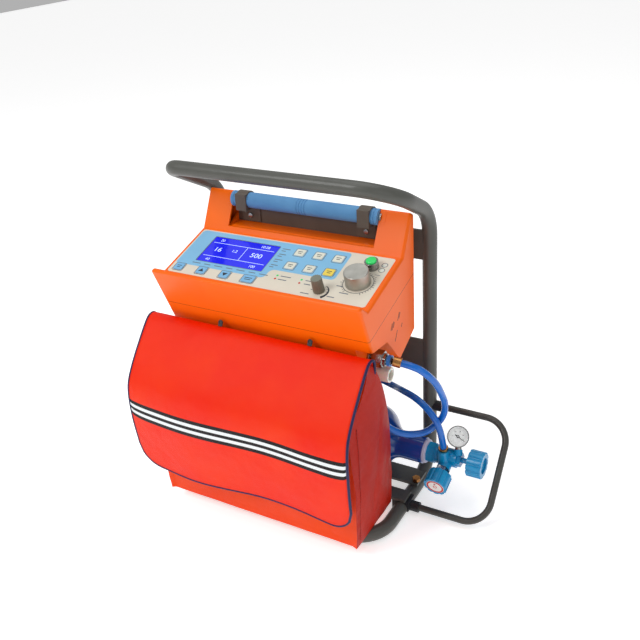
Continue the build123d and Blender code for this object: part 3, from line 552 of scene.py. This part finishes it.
def numerals(name, text, size, matrix, material):
    """Digits as a thin raised mesh."""
    curve = bpy.data.curves.new(name, "FONT")
    curve.body = text
    curve.size = size
    curve.extrude = 0.04
    curve.align_x = "CENTER"
    curve.align_y = "CENTER"
    return piece(name, meshed(curve, 1e-4), matrix, material)


# ---------------------------------------------------------------- oxygen hose
HOSE_ROUTE = [
    (186, -57, -126), (206, -54, -129), (220, -46, -143), (227, -33, -162), (229, -20, -185), (229, -5, -210),
    (223, 5, -237), (212, 4, -256), (196, -7, -270), (166, -29, -265), (138, -43, -236), (98, -46, -220),
    (69, -38, -215), (49, -14, -216), (48, 18, -221), (67, 43, -227), (97, 52, -232),
    (128, 42, -233), (156, 15, -219), (183, 1, -217),
    (208, -6, -230), (223, -6, -256), (223, 3, -292),
]
HOSE_WIDTH = 0.01
hose_line = bpy.data.curves.new("hose", "CURVE")
hose_line.dimensions = "3D"
hose_line.bevel_depth = HOSE_WIDTH / 2
hose_line.bevel_resolution = 6
hose_line.resolution_u = 10
hose_line.use_fill_caps = True
spline = hose_line.splines.new("NURBS")
spline.points.add(len(HOSE_ROUTE) - 1)
for point, place in zip(spline.points, HOSE_ROUTE):
    point.co = (*at(*place), 1)
spline.order_u = 3
spline.use_endpoint_u = True
hose = bpy.data.objects.new("hose", hose_line)
bpy.context.scene.collection.objects.link(hose)
hose_line.materials.append(hose_rubber)
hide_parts("oxygen_hose")
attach(hose, ROOT)
ferrules = refined("hose_ferrules", brass, 0.3)

# ---------------------------------------------------------------- casing, frame and fittings
for node, material, slot, bevel in (
    ("top_case", orange_shell, "orange_plastic", 0), ("bottom_case", orange_shell, "orange_plastic", 0),
    ("panel_plate", panel_beige, "panel_film", 0.3), ("recess_plate", warm_grey, "frame_paint", 0.4),
    ("handle_clips", warm_grey, "frame_paint", 0.5), ("handle_grip", grip_rubber, "grip_rubber", 0.2),
    ("clip_screws", chrome, "chrome", 0.15), ("upper_hoop", frame_enamel, "frame_paint", 0),
    ("base_hoop", frame_enamel, "frame_paint", 0), ("upper_cross_bar", frame_enamel, "frame_paint", 0.8),
    ("lower_cross_bar", frame_enamel, "frame_paint", 0.8), ("cylinder_cradle", frame_enamel, "frame_paint", 0.6),
    ("bag_rail", frame_enamel, "frame_paint", 0.6), ("bail_sockets", black_plastic, "dark_plastic", 0.6),
    ("guard_bail", bail_enamel, "frame_paint", 0), ("unit_bolts", steel, "steel", 0.3),
    ("cradle_bolts", brass, "steel", 0.4), ("gas_cylinder", cylinder_paint, "blue_paint", 0),
    ("cylinder_straps", webbing, "strap_webbing", 0.4), ("neck_ring", lavender_plastic, "ring_plastic", 0.8),
    ("valve_body", turquoise, "turquoise", 0.5), ("valve_wheel", turquoise, "turquoise", 0.5),
    ("flow_bonnet", chrome, "chrome", 0.4), ("flow_knob", turquoise, "turquoise", 0.5),
    ("knob_badge", badge_white, "badge", 0.15), ("gauge_case", chrome, "chrome", 0.4),
    ("gauge_dial", dial_face_painted_glow, "dial_white", 0), ("gauge_needle", ink, "dark_plastic", 0),
    ("gauge_glass", clear_lens(), "clear_glass", 0.3), ("oxygen_inlet", chrome, "chrome", 0.4),
    ("release_ring", sky_plastic, "blue_plastic", 0.3), ("gas_outlet", milky_plastic, "translucent_plastic", 0.4),
    ("rate_knob", knob_silver, "silver_knob", 0.4), ("mode_knob", knob_pewter, "grey_knob", 0.3),
    ("lamp_bezel", chrome, "chrome", 0.3), ("lamp_button", green_lens, "green_lens", 0.5),
    ("indicator_lamps", milky_plastic, "green_lens", 0.3), ("lcd_window", screen_blue, "display_glass", 0.2),
):
    refined(node, material, bevel)

for node, material in (
    ("lcd_module", black_plastic), ("control_board", board_green), ("knob_encoders", steel),
    ("battery_pack", black_plastic), ("valve_block", alloy), ("alarm_speaker", black_plastic),
    ("inner_hoses", milky_plastic), ("handle_core", steel),
):
    nodes[node].data.materials.clear()
    nodes[node].data.materials.append(material)

EAR_TILT = math.degrees(math.atan2(54, 29.3))
for name, side in (("handle_patch_left", -1), ("handle_patch_right", 1)):
    patch = rounded_plate(9.6, 17, 1.5, 0.5)
    patch.transform(Matrix.Translation((side * 125, 24.1, 44.2)) @ Matrix.Rotation(math.radians(EAR_TILT), 4, "X"))
    piece(name, patch, CREASE_AXES, orange_shell)

side_bars = [moved(rounded_plate(length, 1.4, 0.3, 0.12, 2), y, z, 62) for y, z, length in (
    (-40, -84, 10), (-36.5, -84, 12), (-33, -84, 8), (-18, -78, 12), (-14.5, -78, 9), (-26, -104, 16), (-8, -96, 6))]
piece("side_bars", joined(side_bars), Matrix.Translation(at(165, 0, 0)) @ Matrix((
    (0, 0, 1, 0), (1, 0, 0, 0), (0, 1, 0, 0), (0, 0, 0, 1))) @ Matrix.Scale(MM, 4), ink)

# ---------------------------------------------------------------- keys
KEY_HEIGHT = 13.8
KEYS = {
    "menu_key": (-145, -92.5, 14.6), "up_key": (-105.6, -92.5, 14.6), "down_key": (-66.2, -92.5, 14.6),
    "confirm_key": (-26.8, -92.5, 19.0), "mode_key_1": (18.5, -22.5, 14.6), "mode_key_2": (48.9, -22.5, 14.6),
    "mode_key_3": (79.3, -22.5, 14.6), "mode_key_4": (18.5, -52, 14.6), "mode_key_5": (48.9, -52, 14.6),
    "mute_key": (79.3, -52, 14.6),
}
for name, (u, v, width) in KEYS.items():
    lower = v < -80
    colour, slot = (key_sky, "key_blue") if lower else (key_ivory, "key_white")
    if name == "mute_key":
        colour, slot = key_amber, "key_yellow"
    refined(name, colour, 0.5)
    piece(name + "_border", frame_outline(width + 3.6, KEY_HEIGHT + 3.6, 2.6, 0.9, 0.14), on_panel(u, v),
          panel_slate)
TRIANGLE = ((-4.2, -2.8), (4.2, -2.8), (0, 3.6))
for name, turn in (("up_key", 0), ("down_key", 180)):
    u, v, _ = KEYS[name]
    mark = moved(outline_plate(TRIANGLE, 0.12, (0, 0, 0)), turn=turn)
    piece(name + "_mark", mark, on_panel(u, v, 1.2), panel_ink, name)

# ---------------------------------------------------------------- printed panel
WINDOW = (-73, -44.5, 112, 57)


def boundary(corners, radii):
    """The outline edges of a flat plate with rounded corners."""
    shape = outline_plate(corners, 0, radii)
    bmesh.ops.delete(shape, geom=shape.faces[:], context="FACES_ONLY")
    return shape


def sky_zone():
    """The light blue printed field with the display left open."""
    window = [(WINDOW[0] + sx * WINDOW[2] / 2, WINDOW[1] + sy * WINDOW[3] / 2)
              for sx, sy in ((-1, -1), (1, -1), (1, 1), (-1, 1))]
    field = [(-157, -85), (-6, -85), (-6, -65), (93, -65), (93, -6), (-157, -6)]
    shape = joined([boundary(field, (4, 8, 8, 6, 6, 6)), boundary(window, (1.5,) * 4)])
    bmesh.ops.triangle_fill(shape, use_beauty=True, use_dissolve=False, edges=shape.edges[:])
    raised(shape, 0.1)
    return shape


piece("panel_sky_zone", sky_zone(), on_panel(), panel_sky)
piece("window_border", frame_outline(WINDOW[2] + 1.2, WINDOW[3] + 1.2, 1.8, 0.9, 0.16), on_panel(*WINDOW[:2]),
      panel_slate)
label_bars = [moved(rounded_plate(length, 1.5, 0.4, 0.12, 2), u, v) for u, v, length in (
    [(-124 + 19 * k, -78.4, 14 - 3 * (k % 2)) for k in range(7)]
    + [(-5.5, -19.5 - 12 * k, 13 - 2 * (k % 2)) for k in range(4)]
    + [(-8, -24 - 12 * k, 7) for k in range(4)]
    + [(24, -75, 16), (22, -82, 13), (61, -75, 12), (61, -82, 10), (66, -99, 13), (104, -97, 11), (106, -74, 9),
       (118, -86, 13)]
)]
piece("label_bars", joined(label_bars), on_panel(), panel_slate)
key_bars = {name: [(0, 1.6, width - 7), (0, -1.8, width - 9)] for name, (_, _, width) in KEYS.items()
            if name not in ("up_key", "down_key")}
for name, bars in key_bars.items():
    u, v, _ = KEYS[name]
    marks = joined([moved(rounded_plate(length, 1.1, 0.3, 0.1, 2), x, y) for x, y, length in bars])
    piece(name + "_label", marks, on_panel(u, v, 1.2), panel_ink, name)
leader = [moved(rounded_plate(0.7, 10, 0.3, 0.12, 2), 109, -46),
          moved(rounded_plate(14, 0.7, 0.3, 0.12, 2), 116, -41),
          moved(rounded_plate(8, 0.7, 0.3, 0.12, 2), 146, -41)]
piece("lamp_leader", joined(leader), on_panel(), panel_slate)
piece("indicator_borders", joined([moved(ring(3.7, 4.5, 0.12, 28), 147, -19.5), moved(ring(3.7, 4.5, 0.12, 28),
      147.4, -30.5)]), on_panel(), panel_slate)

RATE_KNOB = (127.7, -61.8)
scale_marks = [moved(ring(20.4, 21.2, 0.12, 64))]
for step in range(31):
    angle = -150 + step * 10
    length = 3.4 if step % 5 == 0 else 1.9
    tick = moved(rounded_plate(0.7, length, 0.2, 0.12, 2), 0, 21.6 + length / 2)
    scale_marks.append(moved(tick, turn=-angle))
piece("rate_scale", joined(scale_marks), on_panel(*RATE_KNOB), panel_ink)
pointer = moved(rounded_plate(1.6, 11, 0.5, 0.25), 0, 9.6)
piece("rate_pointer", pointer, on_panel(*RATE_KNOB, 17.5), ink, "rate_knob")

MODE_KNOB = (83.4, -89.6)
mode_marks = [moved(moved(rounded_plate(0.8, 2.4, 0.2, 0.12, 2), 0, 11.4), turn=90 - number * 30)
              for number in range(7)]
piece("mode_scale", joined(mode_marks), on_panel(*MODE_KNOB), panel_ink)
piece("mode_pointer", moved(rounded_plate(1.2, 6.4, 0.4, 0.2), 0, 3.4), on_panel(*MODE_KNOB, 19.0), badge_white,
      "mode_knob")
crescent = []
for k in range(14):
    wedge = moved(rounded_plate(1.0 + 0.22 * k, 2.4, 0.2, 0.12, 1), 12.4 + 0.11 * k)
    crescent.append(moved(wedge, turn=52 - k * 8))
piece("mode_crescent", joined(crescent), on_panel(*MODE_KNOB), panel_ink)

for number, (u, v) in enumerate(((10.8, -75), (10.8, -82), (49, -75), (49, -82))):
    piece(f"led_{number + 1}", disc(1.6, 0.5, 20), on_panel(u, v), lamp_red if number % 2 else green_lens,
          bevel=0.2)

# ---------------------------------------------------------------- display
screen = on_panel(*WINDOW[:2], -0.28)
lines = [moved(rounded_plate(104, 0.7, 0.2, 0.1, 2), 0, 15.5),
         moved(rounded_plate(104, 0.7, 0.2, 0.1, 2), 0, -14.5),
         moved(rounded_plate(0.7, 30, 0.2, 0.1, 2), 8, 0.5)]
piece("screen_lines", joined(lines), screen, screen_pale)
for label, text, size, u, v in (
    ("screen_rate", "16", 13, -36, 1), ("screen_volume", "500", 13, 30, 1), ("screen_ratio", "1:2", 8, -8, 3),
    ("screen_pressure", "20", 7, -40, 22), ("screen_clock", "10:28", 7, 34, 22), ("screen_limit", "40", 7, -40, -22),
    ("screen_oxygen", "100", 7, 36, -22),
):
    numerals(label, text, size, screen @ Matrix.Translation((u, v, 0)), screen_pale)

# ---------------------------------------------------------------- flow knob badge and gauge
FLOW_DIR = Vector((0, -0.95, -0.31)).normalized()
badge_at = at(226, 14, -319) + FLOW_DIR * 52.8 * MM
badge = facing(badge_at, FLOW_DIR)
piece("badge_rim", ring(10.4, 12.9, 0.15, 56), badge, badge_red, "flow_knob", 0.05)
badge_marks = [moved(rounded_plate(3.4, 1.2, 0.4, 0.12, 2), 0, 6.6, turn) for turn in (0, 90, 180, 270)]
badge_marks.append(ring(2.0, 2.9, 0.12, 30))
piece("badge_marks", joined(badge_marks), badge, badge_red, "flow_knob")

GAUGE_DIR = Vector((0.35, -0.72, 0.6)).normalized()
dial = facing(at(237.2, 24.5, -283) - GAUGE_DIR * 3 * MM, GAUGE_DIR)
dial_ticks = []
for step in range(26):
    length = 2.6 if step % 5 == 0 else 1.4
    tick = moved(rounded_plate(0.35, length, 0.1, 0.1, 1), 0, 12.6 - length / 2)
    dial_ticks.append(moved(tick, turn=125 - step * 10))
piece("dial_ticks", joined(dial_ticks), dial, ink)
for number, text in enumerate(("0", "50", "100", "150", "200", "250")):
    angle = math.radians(215 - number * 50)
    spot = dial @ Matrix.Translation((8.0 * math.cos(angle), 8.0 * math.sin(angle), 0))
    numerals(f"dial_number_{number + 1}", text, 2.6, spot, ink)

# ---------------------------------------------------------------- bag
BAG_HALF = 162
GUSSET_MIDDLE = (-112, -262)
GUSSET_RINGS = 8
BAG_PROFILE = [(-50, -374), (-45, -322), (-54, -247), (-86, -148), (-100, -115), (-112, -102), (-174, -172),
               (-166, -271), (-163, -374)]
FLAP_LINE = [(-103, -122), (-101, -103), (-112, -97.5), (-126, -104), (-179.5, -168), (-188.5, -196),
             (-188.5, -240), (-181.5, -326)]
FLAP_X = (-193, 168)
BAND = (168, 199)


def spread_points(points, spacing, closed=False):
    """The same outline with evenly spread points."""
    ends = points + points[:1] if closed else points
    spread = []
    for (y0, z0), (y1, z1) in zip(ends, ends[1:]):
        count = max(1, round(math.hypot(y1 - y0, z1 - z0) / spacing))
        spread += [(y0 + (y1 - y0) * k / count, z0 + (z1 - z0) * k / count) for k in range(count)]
    return spread if closed else spread + [points[-1]]


def bag_shell():
    """The bag's outer skin as rows of quads round the side profile, closed by a gusset grid at each end."""
    outline = spread_points(BAG_PROFILE, 7, True)
    shape = bmesh.new()
    ring_verts = [shape.verts.new((-BAG_HALF, y, z)) for y, z in outline]
    edges = [shape.edges.new((ring_verts[k], ring_verts[(k + 1) % len(ring_verts)])) for k in range(len(outline))]
    columns = 46
    for _ in range(columns):
        grown = bmesh.ops.extrude_edge_only(shape, edges=edges)
        edges = [item for item in grown["geom"] if isinstance(item, bmesh.types.BMEdge)]
        moving = [item for item in grown["geom"] if isinstance(item, bmesh.types.BMVert)]
        bmesh.ops.translate(shape, vec=(2 * BAG_HALF / columns, 0, 0), verts=moving)
    for end in (-BAG_HALF, BAG_HALF):
        open_edges = [edge for edge in shape.edges if edge.is_boundary
                      and abs(edge.verts[0].co.x - end) < 1e-4 and abs(edge.verts[1].co.x - end) < 1e-4]
        for step in range(GUSSET_RINGS):
            share = 1 - 1 / (GUSSET_RINGS + 0.6 - step)
            grown = bmesh.ops.extrude_edge_only(shape, edges=open_edges)
            open_edges = [item for item in grown["geom"] if isinstance(item, bmesh.types.BMEdge)]
            moving = {item for item in grown["geom"] if isinstance(item, bmesh.types.BMVert)}
            for vert in moving:
                vert.co.y = GUSSET_MIDDLE[0] + (vert.co.y - GUSSET_MIDDLE[0]) * share
                vert.co.z = GUSSET_MIDDLE[1] + (vert.co.z - GUSSET_MIDDLE[1]) * share
        bmesh.ops.contextual_create(shape, geom=open_edges)
    bmesh.ops.recalc_face_normals(shape, faces=shape.faces)
    return shape


def gusset_bulge(y, z):
    """How far a side of the bag stands out at a point of it."""
    down = max(0.0, min(1.0, (-100 - z) / 274))
    across = max(0.0, min(1.0, (y + 176) / 130))
    swell = 14.0 * math.sin(math.pi * min(1.0, down ** 0.8)) ** 0.7 * math.sin(math.pi * across) ** 0.9
    crease = 1.6 * math.exp(-((y + 112 - 0.12 * (z + 260)) / 5) ** 2) * min(1.0, max(0.0, (-150 - z) / 60))
    low = 2.2 * noise.noise(Vector((y / 22, z / 34, 7))) * min(1.0, max(0.0, (-180 - z) / 80))
    return max(0.0, swell - crease + low)


def sag(vert):
    """Moves a point of the bag as slack, loaded cloth would lie."""
    x, y, z = vert.co
    low = max(0.0, min(1.0, (-150 - z) / 220))
    edge = max(0.0, 1 - (BAG_HALF - abs(x)) / 60)
    wrinkle = noise.noise(Vector((x / 46, y / 40, z / 60))) * 3.2 * low
    wrinkle += noise.noise(Vector((x / 17, y / 20 + 5, z / 34))) * 1.1 * low
    wrinkle *= min(1.0, max(0.1, (z + 374) / 40))
    if abs(abs(x) - BAG_HALF) < 0.01:
        vert.co.x = math.copysign(BAG_HALF + gusset_bulge(y, z), x)
        return
    reach = -2.4 + 2.2 * math.sin(math.pi * low) * (1 - edge) + wrinkle
    vert.co = vert.co + vert.normal * min(2.0, reach)


bag = bag_shell()
bag.normal_update()
for vert in bag.verts:
    sag(vert)
opening = [face for face in bag.faces
           if abs(face.calc_center_median().x) < BAG_HALF - 14
           and face.normal.dot(Vector((0, -0.74, 0.673))) > 0.9 and face.calc_center_median().z > -168]
bmesh.ops.delete(bag, geom=opening, context="FACES")
bag_body = piece("bag_shell", bag, CREASE_AXES, bag_cloth,
                 smooth=60)
# Faces that point along x, the bag's ends, take the darker red copy of the cloth: painted shade on the bag's sides.
bag_body.data.materials.append(gusset_painted_shade_cloth)
for face in bag_body.data.polygons:
    face.material_index = 1 if abs(face.normal.x) > 0.6 else 0
stitches = []
for step in range(34):
    height = -176 - step * 5.6
    stitch = rounded_plate(1.1, 3.4, 0.5, 0.7, 2)
    spot = Matrix.Translation((BAG_HALF + gusset_bulge(-158, height) + 0.2, -158 + step * 0.1, height))
    stitch.transform(spot @ Matrix.Rotation(math.radians(90), 4, "Z") @ Matrix.Rotation(math.radians(90), 4, "X"))
    stitches.append(stitch)
piece("gusset_stitches", joined(stitches), CREASE_AXES, thread_red)
for number, x in enumerate((-70, 76)):
    loops = [rounded_plate(7, 8, 1.5, 1.4), moved(ring(2.2, 3.4, 1.6, 20), 0, 2, z=0.8)]
    tab = joined(loops)
    tab.transform(Matrix.Translation((x, -106, -94)) @ Matrix.Rotation(math.radians(62), 4, "X"))
    piece(f"bag_tab_{number + 1}", tab, CREASE_AXES, webbing,
          bevel=0.3)
wall = bag_body.modifiers.new("cloth_wall", "SOLIDIFY")
wall.thickness = 2.4 * MM
wall.offset = -1
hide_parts("bag_body")


def flap_place(along, x):
    """A point of the flap's middle sheet at a length along its side line."""
    rest = along
    for (y0, z0), (y1, z1) in zip(FLAP_SMOOTH, FLAP_SMOOTH[1:]):
        length = math.hypot(y1 - y0, z1 - z0)
        if rest <= length:
            break
        rest -= length
    share = min(1.0, rest / length)
    return Vector((x, y0 + (y1 - y0) * share, z0 + (z1 - z0) * share))


def rounded_line(points, rounds=3):
    """The side line with its corners cut round."""
    for _ in range(rounds):
        cut = [points[0]]
        for (y0, z0), (y1, z1) in zip(points, points[1:]):
            cut += [(y0 * 0.75 + y1 * 0.25, z0 * 0.75 + z1 * 0.25), (y0 * 0.25 + y1 * 0.75, z0 * 0.25 + z1 * 0.75)]
        points = cut + [points[-1]]
    return points


FLAP_SMOOTH = rounded_line(FLAP_LINE)
FLAP_LENGTH = sum(math.dist(a, b) for a, b in zip(FLAP_SMOOTH, FLAP_SMOOTH[1:]))
FLAP_WIDTH = FLAP_X[1] - FLAP_X[0]
FLAP_CORNER = 34


def flap_point(s, t):
    """Flap point at share s across and t down, with its rounded lower corners and soft waves."""
    across = FLAP_X[0] + s * FLAP_WIDTH
    down = t * FLAP_LENGTH
    from_side = min(s, 1 - s) * FLAP_WIDTH
    if from_side < FLAP_CORNER:
        cut = FLAP_CORNER - math.sqrt(max(0.0, FLAP_CORNER ** 2 - (FLAP_CORNER - from_side) ** 2))
        down *= 1 - cut * max(0.0, t) ** 3 / FLAP_LENGTH
    down *= 1 - 0.016 * t * (1 + math.sin(across / 42 + 0.6))
    place = flap_place(down, across)
    puff = math.sin(math.pi * s) ** 0.5 * math.sin(math.pi * min(1, t * 1.02))
    puff = 1.8 * puff + 1.2 * noise.noise(Vector((across / 70, down / 55, 3)))
    place.y += 1.6 - min(2.4, puff) + 1.5 * t * math.sin(across / 42 + 0.6)
    return place


def flap_sheet():
    across, down = 72, 56
    shape = bmesh.new()
    bmesh.ops.create_grid(shape, x_segments=across, y_segments=down, size=0.5)
    uv = shape.loops.layers.uv.new("cloth")
    for face in shape.faces:
        for loop in face.loops:
            s, t = loop.vert.co.x + 0.5, 0.5 - loop.vert.co.y
            loop[uv].uv = (s * FLAP_WIDTH * MM, t * FLAP_LENGTH * MM)
    for vert in shape.verts:
        vert.co = flap_point(vert.co.x + 0.5, 0.5 - vert.co.y)
    return shape


flap = piece("flap_sheet", flap_sheet(), CREASE_AXES, striped_cloth(),
             None, smooth=60)
wall = flap.modifiers.new("cloth_wall", "SOLIDIFY")
wall.thickness = 2.6 * MM
wall.offset = 0
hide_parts("bag_flap")


def piping():
    """Rolled binding round the flap's two sides and lower edge."""
    steps = 60
    path = [flap_point(0, k / steps) for k in range(steps + 1)]
    path += [flap_point(k / 90, 1) for k in range(1, 91)]
    path += [flap_point(1, 1 - k / steps) for k in range(1, steps + 1)]
    line = bpy.data.curves.new("binding", "CURVE")
    line.dimensions = "3D"
    line.bevel_depth = 2.0
    line.bevel_resolution = 3
    line.use_fill_caps = True
    run = line.splines.new("POLY")
    run.points.add(len(path) - 1)
    for point, place in zip(run.points, path):
        point.co = (*place, 1)
    return meshed(line, 0.01)


binding = piece("flap_piping", piping(), CREASE_AXES, piping_navy,
                None, smooth=60)
for part in (flap, binding):
    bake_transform(part)

# ---------------------------------------------------------------- studio
bpy.context.scene.view_settings.view_transform = "Standard"
floor_shape = bmesh.new()
bmesh.ops.create_grid(floor_shape, x_segments=1, y_segments=1, size=6000)
floor_paper = moulded("floor_paper", (252, 252, 252), (249, 249, 249), 0.9, 0.3, 4, 0.0,
                      Emission_Color=(1, 1, 1, 1), Emission_Strength=0.5)
floor = piece("floor", floor_shape, Matrix.Scale(MM, 4), floor_paper, None)

world = bpy.data.worlds.new("studio")
world.use_nodes = True
world.node_tree.nodes["Background"].inputs["Color"].default_value = (1, 1, 1, 1)
world.node_tree.nodes["Background"].inputs["Strength"].default_value = 0.44
bpy.context.scene.world = world
for name, place, size, power in (
    ("key_light", (-0.9, -1.5, 1.9), 1.0, 24), ("fill_light", (1.8, -0.9, 1.2), 1.4, 5),
    ("top_light", (-0.1, 0.3, 2.2), 1.6, 14),
):
    lamp = bpy.data.objects.new(name, bpy.data.lights.new(name, "AREA"))
    lamp.data.size = size
    lamp.data.energy = power
    lamp.location = place
    lamp.rotation_euler = (Vector((0, 0, 0.25)) - Vector(place)).to_track_quat("-Z", "Y").to_euler()
    bpy.context.scene.collection.objects.link(lamp)
